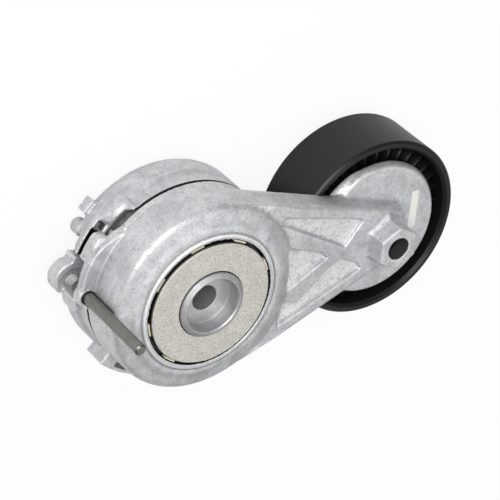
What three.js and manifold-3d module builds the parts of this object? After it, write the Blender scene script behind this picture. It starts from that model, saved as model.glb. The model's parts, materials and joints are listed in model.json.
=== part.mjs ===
// Belt tensioner: a die-cast arm turns on a die-cast base against a torsion spring and carries a
// ribbed plastic pulley on a ball bearing. Sizes are in millimetres and +Z is up.
// The origin is on the pivot axis at the base's back face. +X runs from the pivot to the pulley.

import * as THREE from "three";
import { mergeVertices } from "three/addons/utils/BufferGeometryUtils.js";
import Module from "manifold-3d";

// Clearances
const gap = 0.3; // between neighbouring pieces
const rimGap = 0.4; // between the base's rim and the arm's
const overrun = 3; // how far a cutter runs past the face it opens
const overlap = 1; // how deep a cast feature starts inside what carries it
const weld = 1e-4; // vertices closer than this are one

// Room between the base's belly and the pulley, which sets the arm's length
const pulleyClearance = 6.8;

// Pivot stack, from the back face upwards
const socketFloor = 1.5;
const baseFloor = 3.5;
const baseBossTop = 9;
const baseHeight = 18.7;
const rearWasherThickness = 1.2;
const frontWasherThickness = 0.8;
const recessFloor = 35.6;
const discThickness = 3;

// Pivot radii
const shaftRadius = 14.2;
const bushWall = 2.2;
const sleeveWall = 2.5;

// Base housing
const baseWall = 2.7;
const baseFootInset = 0.7;
const baseFootHeight = 1.6;
const baseBellyBulge = 1.3;
const baseBellyLow = 5;
const baseBellyHigh = 11.6;
const baseRimLow = 13.4;
const baseRimRound = 0.5;
const baseBossInset = 0.5;
const baseSpringStopWidth = 5;
const baseSpringStopHeight = 5.2;

// Window in the base's rim, where the arm's stop tab travels
const windowStartAzimuth = 117.6;
const windowEndAzimuth = 143.3;
const windowSill = 14.5;

// Ledge and ear on the base
const ledgeFadeAzimuth = 121;
const ledgeStartAzimuth = 138.5;
const ledgeEndAzimuth = 158;
const ledgeReach = 5.4;
const ledgeTop = 14;
const ledgeEdge = 1.4;
const ledgeFlare = 0.8;
const ledgeFoot = 8;
const ledgeHeel = 6;
const earReach = 3.7;
const earAzimuth = 172.3;
const earRadius = 6.3;
const earRecessRadius = 5.6;
const earRecessDepth = 1.7;
const earRecessWall = 1.5;
const earTop = 13;
const earHeight = 5.6;
const earWebAzimuth = 160;
const earWebReach = 4.9;
const shoulderAngle = 7.5;

// Locating peg, foot tab and relief at the base's back
const pegAzimuth = 151.8;
const pegInset = 3.4;
const pegRadius = 2.9;
const pegLength = 4;
const pegChamfer = 0.5;
const footTabStartAzimuth = 133.5;
const footTabEndAzimuth = 141.5;
const footTabReach = 3.6;
const footTabHeight = 4;
const reliefStartAzimuth = 143;
const reliefEndAzimuth = 165;
const reliefDepth = 1.4;
const reliefHeight = 6.5;
const footReliefStartAzimuth = 154;
const footReliefEndAzimuth = 167;
const footReliefDepth = 3.9;
const footReliefHeight = 3;

// Flank of the base that faces the pulley's belt, where the belly fades into the rim
const flankStartAzimuth = 12;
const flankEndAzimuth = 76;
const flankFadeAngle = 18;

// Lower lug on the base
const lowerLugStartAzimuth = -134;
const lowerLugEndAzimuth = -108;
const lowerLugReach = 5.4;
const lowerLugTop = 17.8;
const lowerLugFoot = 8;
const lowerPocketStartAzimuth = -125;
const lowerPocketEndAzimuth = -110.5;
const lowerPocketDepth = 4.5;
const lowerPocketWall = 1.3;

// Arm: round big end
const armWall = 5;
const armShoulderRise = 0.1;
const armShoulderRound = 1.5;
const lipWall = 4;
const lipRise = 3.6;
const lipRound = 0.4;
const recessWidth = 7.5;
const armRoof = 2.8;
const armSpringStopWidth = 5;
const armSpringStopHeight = 4.6;

// Arm: beam, which slopes from its root to its tip
const beamTipRadius = 11.6;
const beamEdge = 1.8;
const tipCornerRadius = 12.2;
const tipCornerAngle = 53;
const tipEndAngle = 6;
const beamRootRise = 0.4;
const beamRootAt = 26;
const beamTipHeight = 31.6;
const pocketDepth = 1.6;
const pocketRootInset = 2;

// Arm: shield disc, bearing seat and hexagon at the tip
const shieldRoom = 6.2;
const shieldThickness = 3.4;
const shieldEdgeThickness = 1.4;
const shieldEdgeRound = 1.3;
const seatRadius = 11.5;
const hexSides = 6;
const hexFlats = 15;
const hexTop = 39.8;
const hexFootRadius = 10.6;
const hexFootHeight = 2.1;
const hexChamfer = 0.5;
const hexBoreRadius = 4.28;
const boltSocketTop = 33;

// Arm: lock pin lug, stop tang and stop tab
const lugStartAzimuth = 133.3;
const lugTop = 24;
const lugMidAzimuth = 147;
const lugMidReach = 4;
const lugFullAzimuth = 156;
const lugReach = 5.2;
const lugEndRadius = 3.9;
const tangStartAzimuth = 142.2;
const tangRound = 3;
const tangEndAzimuth = 158;
const tangBottom = 14.5;
const stopTabStartAzimuth = 138.6;
const stopTabEndAzimuth = 142.5;
const stopTabBottom = 15;
const stopTabWall = 2.6;

// Lock pin
const pinAzimuth = 174.9;
const pinRadius = 2.1;
const pinHoleRadius = 2.5;
const pinBottom = 14.4;
const pinTop = 57.3;
const pinChamfer = 0.6;

// Spindle and front disc
const boltHoleRadius = 4.74;
const counterboreRadius = 10.06;
const counterboreDepth = 5.96;
const spindleRimLand = 0.64;
const spindleRimSlope = 1.75;
const spindleRimRise = 1.04;
const neckRise = 5.06;
const spindleChamfer = 0.6;
const discClearance = 1.2;
const discEdge = 0.35;

// Washers
const rearWasherOverhang = 0.3;
const washerTabHeight = 2.1;
const washerTabAngle = 12;
const washerTabAzimuths = [22, 64, 106, 148, -169, -127, -84, -31];

// Torsion spring and damper
const springWire = 2.4;
const springInnerRoom = 3.1;
const springOuterRoom = 3.6;
const springTurns = 4;
const springStartAzimuth = 30;
const damperBottom = 9;
const damperWall = 4;
const damperTooth = 0.7;
const bandWall = 0.8;
const bandClearance = 0.4;
const bandSlitAngle = 8;

// Pulley
const pulleyRadius = 35;
const pulleyBack = 1.2;
const pulleyFront = 24.8;
const pulleyEdge = 0.9;
const pulleyWall = 3.4;
const pulleyMouthFlare = 1;
const pulleyMouthDepth = 1.4;
const webThickness = 2.5;
const hubWall = 2.9;
const hubInset = 0.6;
const ribCount = 34;
const ribThickness = 1;
const ribTop = 20;
const ribBottom = 5.4;
const ribPhaseAzimuth = 77.2;

// Bearing, 17 x 40 x 12
const bearingBore = 8.5;
const bearingWidth = 12;
const bearingBack = 8;
const innerRingWall = 2.9;
const outerRingWall = 2.8;
const ballRadius = 3.37;
const ballSunk = 0.47;
const ballCount = 8;
const cageThickness = 2.7;
const cageHalfHeight = 4.4;
const sealThickness = 0.8;
const sealInset = 0.3;

// Dust shield, sleeve and bolt at the pulley
const dustThickness = 0.6;
const dustInset = 1.4;
const dustRise = 0.6;
const dustDishRadius = 14;
const flangeRadius = 11.4;
const flangeThickness = 2.3;
const boltRadius = 5;
const boltHeadFlats = 16;
const boltHeadHeight = 4.1;
const boltEnd = 32.6;
const boltChamfer = 0.7;

// Facets
const wideSides = 56;
const middleSides = 32;
const smallSides = 20;
const tinySides = 16;
const grooveSteps = 4;
const ballSides = 8;
const ballRings = 6;
const springSteps = 18;
const springSides = 5;

// Radii worked out from the sizes above, from the pivot outwards
const bushInner = shaftRadius + gap;
const bushOuter = bushInner + bushWall;
const armBore = bushOuter + gap;
const sleeveOuter = armBore + sleeveWall;
const springRadius = sleeveOuter + springInnerRoom + springWire;
const springOuter = springRadius + springWire;
const armInnerRadius = springOuter + springOuterRoom;
const armRadius = armInnerRadius + armWall;
const baseInnerRadius = springOuter + bandClearance + bandWall + gap + damperWall + gap;
const baseRimRadius = baseInnerRadius + baseWall;
const baseFootRadius = baseRimRadius - baseFootInset;
const baseBellyRadius = baseRimRadius + baseBellyBulge;
const baseBossRadius = sleeveOuter - baseBossInset;
const rearWasherRadius = baseBossRadius + rearWasherOverhang;
const ledgeFootRadius = baseBellyRadius + ledgeFlare;
const ledgeRadius = baseRimRadius + ledgeReach;
const lowerLugRadius = baseRimRadius + lowerLugReach;
const earOrbit = baseRimRadius + earReach;
const earWebRadius = baseRimRadius + earWebReach;
const footTabRadius = baseFootRadius + footTabReach;
const pegOrbit = baseFootRadius - pegInset;
const lugMidRadius = armRadius + lugMidReach;
const lugRadius = armRadius + lugReach;
const pinOrbit = baseRimRadius + gap + pinRadius;
const recessRadius = armBore + recessWidth;
const lipRadius = recessRadius + lipWall;
const discRadius = recessRadius - discClearance;
const spindleRimRadius = counterboreRadius + spindleRimLand;
const neckRadius = spindleRimRadius + spindleRimSlope;
const discBore = neckRadius + gap;
const pocketRootRadius = armRadius - pocketRootInset;
const armLength = baseBellyRadius + pulleyClearance + pulleyRadius;
const raceLand = ballRadius - ballSunk;
const raceRadius = bearingBore + innerRingWall + raceLand;
const raceGroove = ballRadius + gap;
const bearingRadius = raceRadius + raceLand + outerRingWall;
const pulleyRimInner = pulleyRadius - pulleyWall;
const pulleyMouth = pulleyRimInner + pulleyMouthFlare;
const shieldRadius = pulleyMouth - shieldRoom;
const dustRadius = shieldRadius - dustInset;

// Heights worked out from the sizes above
const armRim = baseHeight + rimGap;
const armCeiling = recessFloor - armRoof;
const armShoulder = recessFloor + armShoulderRise;
const lipHeight = recessFloor + lipRise;
const rearWasherBottom = baseBossTop + gap;
const sleeveBottom = rearWasherBottom + rearWasherThickness + gap;
const frontWasherBottom = recessFloor + gap;
const discBottom = frontWasherBottom + frontWasherThickness + gap;
const neckTop = recessFloor + neckRise;
const spindleRimTop = neckTop + spindleRimRise;
const counterboreFloor = spindleRimTop - counterboreDepth;
const bearingMiddle = bearingBack + bearingWidth / 2;
const bearingFront = bearingBack + bearingWidth;
const seatFace = bearingFront + gap + dustThickness + gap;
const shieldUnderside = seatFace + dustRise;
const shieldEdgeHeight = shieldUnderside + shieldEdgeThickness;
const shieldTop = shieldUnderside + shieldThickness;
const beamUnderside = pulleyFront + gap;
const beamRootHeight = recessFloor + beamRootRise;
const earFloor = earTop - earRecessDepth;

const wasm = await Module();
wasm.setup();

// A closed three.js geometry as a solid that can be joined and cut
function solid(geometry) {
  const bare = new THREE.BufferGeometry();
  bare.setAttribute("position", geometry.getAttribute("position"));
  bare.setIndex(geometry.index);
  const merged = mergeVertices(bare, weld);
  const corners = merged.index.array;
  const kept = [];
  for (let i = 0; i < corners.length; i += 3) {
    const [a, b, c] = corners.subarray(i, i + 3);
    if (a !== b && b !== c && c !== a) kept.push(a, b, c);
  }
  return new wasm.Manifold(
    new wasm.Mesh({
      numProp: 3,
      vertProperties: merged.attributes.position.array,
      triVerts: new Uint32Array(kept),
    }),
  );
}

function joined(first, ...others) {
  return others.reduce((whole, piece) => whole.add(piece), first);
}

function cut(body, ...cutters) {
  return cutters.reduce((left, cutter) => left.subtract(cutter), body);
}

// A body of revolution about Z. The profile runs anticlockwise as pairs of radius and height.
function turned(profile, sides) {
  const points = profile.map(([radius, height]) => new THREE.Vector2(radius, height));
  if (profile[0][0] > 0) points.push(points[0].clone());
  return solid(new THREE.LatheGeometry(points, sides).rotateX(Math.PI / 2));
}

function tube(inner, outer, low, high, sides) {
  const profile = [
    [inner, low],
    [outer, low],
    [outer, high],
    [inner, high],
  ];
  return turned(profile, sides);
}

function rod(radius, low, high, sides) {
  return tube(0, radius, low, high, sides);
}

// An outline in the plane, raised from one height to another. Each of its arcs has that many steps.
function raised(shape, low, high, arcSteps) {
  const curveSegments = Math.ceil(arcSteps / 2);
  const settings = { depth: high - low, bevelEnabled: false, curveSegments };
  return solid(new THREE.ExtrudeGeometry(shape, settings).translate(0, 0, low));
}

function polar(radius, azimuth) {
  const angle = THREE.MathUtils.degToRad(azimuth);
  return new THREE.Vector2(radius * Math.cos(angle), radius * Math.sin(angle));
}

// A step across the plane, to a radius and an azimuth
function across(radius, azimuth) {
  const spot = polar(radius, azimuth);
  return [spot.x, spot.y, 0];
}

function pinPlace() {
  return across(pinOrbit, pinAzimuth);
}

// The points of an arc, as pairs, from one angle in degrees to another
function arc(x, y, radius, from, to, steps) {
  return Array.from({ length: steps + 1 }, (_, i) => {
    const angle = THREE.MathUtils.degToRad(from + ((to - from) * i) / steps);
    return [x + radius * Math.cos(angle), y + radius * Math.sin(angle)];
  });
}

// A block between two radii and two azimuths about the origin
function sector(inner, outer, start, end, low, high) {
  const shape = new THREE.Shape();
  const from = THREE.MathUtils.degToRad(start);
  const to = THREE.MathUtils.degToRad(end);
  shape.absarc(0, 0, outer, from, to, false);
  shape.absarc(0, 0, inner, to, from, true);
  shape.closePath();
  const steps = Math.ceil((middleSides * (end - start)) / 360);
  return raised(shape, low, high, steps);
}

// A tapered outline whose sides touch a circle at the origin and a smaller one along +X. The
// tip's upper side runs on to a corner.
function taperOutline(rootRadius, tipRadius, distance) {
  const lean = Math.acos((rootRadius - tipRadius) / distance);
  const corner = polar(tipCornerRadius, tipCornerAngle);
  const shape = new THREE.Shape();
  shape.absarc(distance, 0, tipRadius, -lean, THREE.MathUtils.degToRad(tipEndAngle), false);
  shape.lineTo(distance + corner.x, corner.y);
  shape.lineTo(rootRadius * Math.cos(lean), rootRadius * Math.sin(lean));
  shape.lineTo(rootRadius * Math.cos(lean), -rootRadius * Math.sin(lean));
  shape.closePath();
  return shape;
}

function hexagon(flats) {
  const corner = flats / Math.sqrt(3);
  const points = Array.from({ length: hexSides }, (_, i) => polar(corner, 30 + (360 * i) / hexSides));
  return new THREE.Shape(points);
}

// Base: the cup that holds the spring, with its window, ledge, ear, shoulder, lug and peg

function baseCup() {
  const profile = [
    [boltHoleRadius, 0],
    [baseFootRadius - baseRimRound, 0],
    [baseFootRadius, baseFootHeight],
    [baseBellyRadius, baseBellyLow],
    [baseBellyRadius, baseBellyHigh],
    [baseRimRadius, baseRimLow],
    [baseRimRadius, baseHeight - baseRimRound],
    [baseRimRadius - baseRimRound, baseHeight],
    [baseInnerRadius, baseHeight],
    [baseInnerRadius, baseFloor],
    [baseBossRadius, baseFloor],
    [baseBossRadius, baseBossTop],
    [shaftRadius + gap, baseBossTop],
    [shaftRadius + gap, socketFloor],
    [boltHoleRadius, socketFloor],
  ];
  return turned(profile, wideSides);
}

function baseLedge() {
  const inside = baseRimRadius - overlap;
  const profile = [
    [inside, ledgeHeel],
    [baseBellyRadius, ledgeHeel],
    [ledgeFootRadius, ledgeFoot],
    [ledgeRadius, ledgeTop - ledgeEdge],
    [ledgeRadius, ledgeTop],
    [inside, ledgeTop],
  ];
  const reach = ledgeRadius + overrun;
  const middle = (ledgeFadeAzimuth + ledgeStartAzimuth) / 2;
  const fade = [
    polar(inside, ledgeFadeAzimuth),
    polar(baseBellyRadius, ledgeFadeAzimuth),
    polar((baseBellyRadius + ledgeFootRadius) / 2, middle),
    polar(ledgeRadius, ledgeStartAzimuth),
    polar(inside, ledgeStartAzimuth),
    polar(inside, middle),
  ];
  const outline = joined(
    raised(new THREE.Shape(fade), 0, baseHeight, 1),
    sector(0, reach, ledgeStartAzimuth, ledgeEndAzimuth, 0, baseHeight),
  );
  return turned(profile, wideSides).intersect(outline);
}

function baseEar() {
  const inside = baseRimRadius - overlap;
  const web = sector(inside, earWebRadius, earWebAzimuth, shoulderAzimuth(), earTop - earHeight, earTop);
  const boss = rod(earRadius, earTop - earHeight, earTop, smallSides);
  return joined(web, boss.translate(across(earOrbit, earAzimuth)));
}

// The ear's round recess and the hole in its floor, which the lock pin's tip finds
function earRecess() {
  const recess = rod(earRecessRadius, earFloor, baseHeight + overrun, middleSides);
  const hole = rod(pinHoleRadius, earTop - earHeight - overrun, earTop, tinySides);
  const wall = rod(baseInnerRadius + earRecessWall, 0, baseHeight + 2 * overrun, wideSides);
  return cut(joined(recess, hole).translate(pinPlace()), wall);
}

// The shoulder stands where the lock pin's side bears on it
function shoulderAzimuth() {
  return pinAzimuth + THREE.MathUtils.radToDeg(Math.asin((pinRadius + gap) / pinOrbit));
}

function baseShoulder() {
  const inside = baseRimRadius - overlap;
  const end = shoulderAzimuth() + shoulderAngle;
  return sector(inside, ledgeRadius, shoulderAzimuth(), end, earFloor - overlap / 2, baseHeight);
}

// What the flank takes off the belly: nothing at its two ends, all of the bulge between them
function flankCutter() {
  const from = flankStartAzimuth + flankFadeAngle;
  const to = flankEndAzimuth - flankFadeAngle;
  const outer = ledgeRadius + overrun;
  const start = THREE.MathUtils.degToRad(flankStartAzimuth);
  const end = THREE.MathUtils.degToRad(flankEndAzimuth);
  const shape = new THREE.Shape();
  shape.absarc(0, 0, outer, start, end, false);
  const upper = polar(baseBellyRadius, flankEndAzimuth);
  shape.lineTo(upper.x, upper.y);
  shape.absarc(0, 0, baseRimRadius, THREE.MathUtils.degToRad(to), THREE.MathUtils.degToRad(from), true);
  const lower = polar(baseBellyRadius, flankStartAzimuth);
  shape.lineTo(lower.x, lower.y);
  shape.closePath();
  return raised(shape, -overrun, baseHeight + overrun, smallSides);
}

function lowerLug() {
  const inside = baseRimRadius - overlap;
  const lug = sector(
    inside,
    lowerLugRadius,
    lowerLugStartAzimuth,
    lowerLugEndAzimuth,
    lowerLugFoot,
    lowerLugTop,
  );
  const pocketInner = baseBellyRadius + lowerPocketWall / 2;
  const pocketOuter = lowerLugRadius - lowerPocketWall;
  const floor = lowerLugTop - lowerPocketDepth;
  const above = lowerLugTop + overrun;
  const pocket = sector(
    pocketInner,
    pocketOuter,
    lowerPocketStartAzimuth,
    lowerPocketEndAzimuth,
    floor,
    above,
  );
  return cut(lug, pocket);
}

function locatingPeg() {
  const profile = [
    [0, -pegLength],
    [pegRadius - pegChamfer, -pegLength],
    [pegRadius, pegChamfer - pegLength],
    [pegRadius, overlap],
    [0, overlap],
  ];
  return turned(profile, tinySides).translate(across(pegOrbit, pegAzimuth));
}

function baseHousing() {
  const stopLow = baseFloor - overlap;
  const stop = sector(
    springRadius - springWire,
    springRadius + springWire,
    springStartAzimuth - (360 * baseSpringStopWidth) / (2 * Math.PI * springRadius),
    springStartAzimuth - springEndAngle(),
    stopLow,
    baseFloor + baseSpringStopHeight,
  );
  const tab = sector(
    baseFootRadius - overlap,
    footTabRadius,
    footTabStartAzimuth,
    footTabEndAzimuth,
    0,
    footTabHeight,
  );
  const window = sector(
    baseInnerRadius - overrun,
    ledgeRadius + overrun,
    windowStartAzimuth,
    windowEndAzimuth,
    windowSill,
    baseHeight + overrun,
  );
  const relief = sector(
    baseFootRadius - reliefDepth,
    ledgeRadius + overrun,
    reliefStartAzimuth,
    reliefEndAzimuth,
    -overrun,
    reliefHeight,
  );
  const footRelief = sector(
    baseFootRadius - footReliefDepth,
    ledgeRadius + overrun,
    footReliefStartAzimuth,
    footReliefEndAzimuth,
    -overrun,
    footReliefHeight,
  );
  const cup = cut(baseCup(), flankCutter());
  const bodies = joined(cup, baseLedge(), baseEar(), lowerLug(), tab, stop);
  const opened = cut(bodies, window, relief, footRelief, earRecess());
  return joined(opened, baseShoulder(), locatingPeg());
}

// The gap at a spring end, as an angle
function springEndAngle() {
  return THREE.MathUtils.radToDeg(gap / springRadius);
}

// Arm: the big end over the spring, the sloped beam, the shield disc, the hexagon and the lug

// The shoulder's round, as shares of its size: outwards from the arm's radius, up from its corner
const shoulderRoundShares = [
  [0, -1],
  [-0.29, -0.16],
  [-0.9, 0.42],
];

function bigEnd() {
  const shoulder = shoulderRoundShares.map(([out, up]) => [
    armRadius + out * armShoulderRound,
    armShoulder + up * armShoulderRound,
  ]);
  const profile = [
    [armInnerRadius, armRim],
    [armRadius, armRim],
    ...shoulder,
    [lipRadius + lipRound, lipHeight - lipRound / 2],
    [lipRadius - lipRound, lipHeight],
    [recessRadius, lipHeight],
    [recessRadius, recessFloor],
    [armBore, recessFloor],
    [armBore, sleeveBottom],
    [sleeveOuter, sleeveBottom],
    [sleeveOuter, armCeiling],
    [armInnerRadius, armCeiling],
  ];
  return turned(profile, wideSides);
}

// All the space above the beam's sloped top, lowered by a depth
function aboveBeam(depth) {
  const slope = Math.atan2(beamRootHeight - beamTipHeight, armLength - beamRootAt);
  const reach = armLength + armRadius;
  const block = new THREE.BoxGeometry(2 * reach, 2 * reach, reach);
  block.translate(0, 0, reach / 2);
  block.rotateY(slope);
  block.translate(beamRootAt, 0, beamRootHeight - depth);
  return solid(block);
}

// The beam's side leans along its slope, with a rounded edge round its top, and stops under the
// big end's shoulder
function beam() {
  const outline = taperOutline(armRadius, beamTipRadius, armLength);
  const fall = (beamRootHeight - beamTipHeight) / (armLength - beamRootAt);
  const settings = {
    depth: beamRootHeight,
    bevelThickness: beamEdge,
    bevelSize: beamEdge,
    bevelOffset: -beamEdge,
    bevelSegments: 2,
    curveSegments: tinySides / 2,
  };
  const block = new THREE.ExtrudeGeometry(outline, settings);
  block.translate(0, 0, fall * beamRootAt - beamEdge);
  block.applyMatrix4(new THREE.Matrix4().makeShear(0, -fall, 0, 0, 0, 0));
  const top = armShoulder - armShoulderRound / 2;
  const slab = rod(armLength + armRadius, beamUnderside, top, smallSides);
  const hollow = rod(armRadius - overlap, 0, lipHeight + overrun, wideSides);
  return cut(solid(block).intersect(slab), hollow);
}

// The three pockets in the beam's top, as shares of the arm's length along X and Y. The middle
// one is bounded by an arc about the pivot, and ribs stay between them.
const upperPocketShares = [
  [0.399, 0.291],
  [0.38, 0.257],
  [0.759, 0.028],
  [0.854, 0.137],
  [0.835, 0.152],
];
const lowerPocketShares = [
  [0.753, -0.028],
  [0.854, -0.086],
  [0.873, -0.12],
  [0.854, -0.13],
  [0.405, -0.282],
  [0.424, -0.146],
  [0.513, -0.181],
  [0.675, -0.056],
];
const middlePocketShares = [
  [0.633, 0.041],
  [0.662, 0.004],
  [0.405, -0.118],
  [0.415, 0.133],
];

function pocket(shares) {
  const points = shares.map(([x, y]) => new THREE.Vector2(x * armLength, y * armLength));
  const prism = raised(new THREE.Shape(points), beamUnderside, lipHeight + overrun, 1);
  const root = rod(pocketRootRadius, 0, lipHeight + overrun + overrun, wideSides);
  return cut(prism.intersect(aboveBeam(pocketDepth)), root);
}

function shieldDisc() {
  const profile = [
    [0, seatFace],
    [seatRadius, seatFace],
    [seatRadius, shieldUnderside],
    [shieldRadius - shieldEdgeRound / 2, shieldUnderside],
    [shieldRadius, shieldUnderside + shieldEdgeRound / 2],
    [shieldRadius, shieldEdgeHeight],
    [shieldRadius - shieldEdgeRound / 2, shieldTop - shieldEdgeRound / 2],
    [shieldRadius - shieldEdgeRound, shieldTop],
    [0, shieldTop],
  ];
  return turned(profile, wideSides);
}

function hexBoss() {
  const foot = beamTipHeight - overlap;
  const corner = hexFlats / Math.sqrt(3);
  const hex = raised(hexagon(hexFlats), foot, hexTop, 1);
  const crown = turned(
    [
      [0, foot],
      [corner + overrun, foot],
      [corner + overrun, hexTop - hexChamfer - overrun / 2],
      [corner - hexChamfer, hexTop],
      [0, hexTop],
    ],
    middleSides,
  );
  const skirt = turned(
    [
      [0, foot],
      [hexFootRadius, foot],
      [hexFootRadius, beamTipHeight],
      [corner, beamTipHeight + hexFootHeight],
      [0, beamTipHeight + hexFootHeight],
    ],
    hexSides,
  );
  return joined(hex.intersect(crown), skirt);
}

function armTip() {
  const socket = rod(boltRadius + gap, seatFace - overrun, boltSocketTop, smallSides);
  const bore = rod(hexBoreRadius, seatFace, hexTop + overrun, smallSides);
  const core = rod(beamTipRadius - beamEdge, seatFace, beamTipHeight - overlap, smallSides);
  return { body: joined(shieldDisc(), core, hexBoss()), cutters: [socket, bore] };
}

// The lug's outer edge swells from the wall to its full radius and ends round the pin
function pinLug() {
  const knots = [
    polar(armRadius, lugStartAzimuth),
    polar(lugMidRadius, lugMidAzimuth),
    polar(lugRadius, lugFullAzimuth),
    polar(lugRadius, (lugFullAzimuth + pinAzimuth) / 2),
    polar(lugRadius, pinAzimuth),
  ];
  const inside = polar(armRadius - overlap, pinAzimuth);
  const start = polar(armRadius - overlap, lugStartAzimuth);
  const bulge = new THREE.SplineCurve(knots).getPoints(3 * knots.length);
  const back = arc(0, 0, armRadius - overlap, pinAzimuth, lugStartAzimuth, knots.length);
  const wall = back.slice(1, -1).map(([x, y]) => new THREE.Vector2(x, y));
  const outline = [start, ...bulge, inside, ...wall];
  const ledge = raised(new THREE.Shape(outline), armRim, lugTop, 1);
  const end = rod(lugEndRadius, armRim, lugTop, smallSides).translate(pinPlace());
  const hollow = rod(armRadius - overlap, armRim - overrun, lugTop + overrun, wideSides);
  return cut(joined(ledge, end), hollow);
}

function stopTang() {
  const inner = baseRimRadius + gap;
  const top = armRim + overlap;
  const orbit = lugRadius - tangRound;
  const turn = tangStartAzimuth + THREE.MathUtils.radToDeg(tangRound / orbit);
  const round = rod(tangRound, tangBottom, top, tinySides).translate(across(orbit, turn));
  const hollow = rod(inner, 0, top + overrun, wideSides);
  const bodies = joined(
    sector(inner - overlap, lugRadius, turn, tangEndAzimuth, tangBottom, top),
    sector(inner - overlap, orbit, tangStartAzimuth, tangEndAzimuth, tangBottom, top),
    round,
  );
  return cut(bodies, hollow);
}

function stopTab() {
  const top = armRim + overlap;
  const inner = armRadius - stopTabWall;
  return sector(inner, armRadius, stopTabStartAzimuth, stopTabEndAzimuth, stopTabBottom, top);
}

function armSpringStop() {
  const end = springStartAzimuth + 360 * springTurns;
  const width = THREE.MathUtils.radToDeg(armSpringStopWidth / springRadius);
  return sector(
    springRadius - springWire,
    springRadius + springWire,
    end + springEndAngle(),
    end + width,
    armCeiling - armSpringStopHeight,
    armCeiling + overlap,
  );
}

function armCasting() {
  const tip = armTip();
  const place = [armLength, 0, 0];
  const bodies = joined(
    bigEnd(),
    beam(),
    tip.body.translate(place),
    pinLug(),
    stopTang(),
    stopTab(),
    armSpringStop(),
  );
  const pinHole = rod(pinHoleRadius, armRim - overrun, lugTop + overrun, tinySides);
  return cut(
    bodies,
    pocket(upperPocketShares),
    pocket(middlePocketShares),
    pocket(lowerPocketShares),
    pinHole.translate(pinPlace()),
    ...tip.cutters.map((cutter) => cutter.translate(place)),
  );
}

// Pivot pieces

function pivotSpindle() {
  const shoulder = discBottom - gap;
  const profile = [
    [boltHoleRadius, socketFloor + gap],
    [shaftRadius - spindleChamfer, socketFloor + gap],
    [shaftRadius, socketFloor + gap + spindleChamfer],
    [shaftRadius, shoulder],
    [neckRadius, shoulder],
    [neckRadius, neckTop],
    [spindleRimRadius, spindleRimTop],
    [counterboreRadius, spindleRimTop - spindleChamfer],
    [counterboreRadius, counterboreFloor],
    [boltHoleRadius, counterboreFloor],
  ];
  return turned(profile, middleSides);
}

function frontDisc() {
  const top = discBottom + discThickness;
  const profile = [
    [discBore, discBottom],
    [discRadius - discEdge, discBottom],
    [discRadius, discBottom + discEdge],
    [discRadius, top - discEdge],
    [discRadius - discEdge, top],
    [discBore, top],
  ];
  return turned(profile, middleSides);
}

function pivotBush() {
  return tube(bushInner, bushOuter, sleeveBottom + gap, recessFloor - gap, middleSides);
}

function rearThrustWasher() {
  const top = rearWasherBottom + rearWasherThickness;
  return tube(shaftRadius + gap, rearWasherRadius, rearWasherBottom, top, middleSides);
}

// The front washer has tabs that show in the gap round the disc
function thrustWasher() {
  const outer = recessRadius - gap;
  const top = frontWasherBottom + frontWasherThickness;
  const ring = tube(armBore, outer, frontWasherBottom, top, middleSides);
  const tabs = washerTabAzimuths.map((azimuth) =>
    sector(
      discRadius + gap,
      outer,
      azimuth - washerTabAngle / 2,
      azimuth + washerTabAngle / 2,
      frontWasherBottom,
      frontWasherBottom + frontWasherThickness + washerTabHeight,
    ),
  );
  return joined(ring, ...tabs);
}

// Spring and damper

class Helix extends THREE.Curve {
  getPoint(t, target = new THREE.Vector3()) {
    const low = baseFloor + gap + springWire;
    const high = armCeiling - gap - springWire;
    const angle = THREE.MathUtils.degToRad(springStartAzimuth) + 2 * Math.PI * springTurns * t;
    const height = low + (high - low) * t;
    return target.set(springRadius * Math.cos(angle), springRadius * Math.sin(angle), height);
  }
}

function torsionSpring() {
  const round = Array.from({ length: springSides }, (_, i) =>
    polar(springWire, (360 * i) / springSides),
  );
  const steps = Math.ceil(springSteps * springTurns);
  const settings = { steps, bevelEnabled: false, extrudePath: new Helix() };
  return solid(new THREE.ExtrudeGeometry(new THREE.Shape(round), settings));
}

// A toothed ring, so the polymer grips the base's wall
function damperRing() {
  const outer = baseInnerRadius - gap;
  const points = Array.from({ length: 2 * wideSides }, (_, i) =>
    polar(i % 2 ? outer : outer - damperTooth, (180 * i) / wideSides),
  );
  const shape = new THREE.Shape(points);
  const hole = new THREE.Path().absarc(0, 0, outer - damperWall, 0, 2 * Math.PI, true);
  shape.holes.push(hole);
  return raised(shape, damperBottom, armRim - gap, middleSides);
}

function damperBand() {
  const inner = springOuter + bandClearance;
  const slit = bandSlitAngle / 2;
  return sector(inner, inner + bandWall, slit, 360 - slit, damperBottom, armRim - gap);
}

// Lock pin, straight, with a light chamfered end

function lockPin() {
  const profile = [
    [0, pinBottom],
    [pinRadius - pinChamfer, pinBottom],
    [pinRadius, pinBottom + pinChamfer],
    [pinRadius, pinTop - pinChamfer],
    [pinRadius - pinChamfer, pinTop],
    [0, pinTop],
  ];
  return turned(profile, tinySides);
}

// Pulley and bearing, about their own axis

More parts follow.
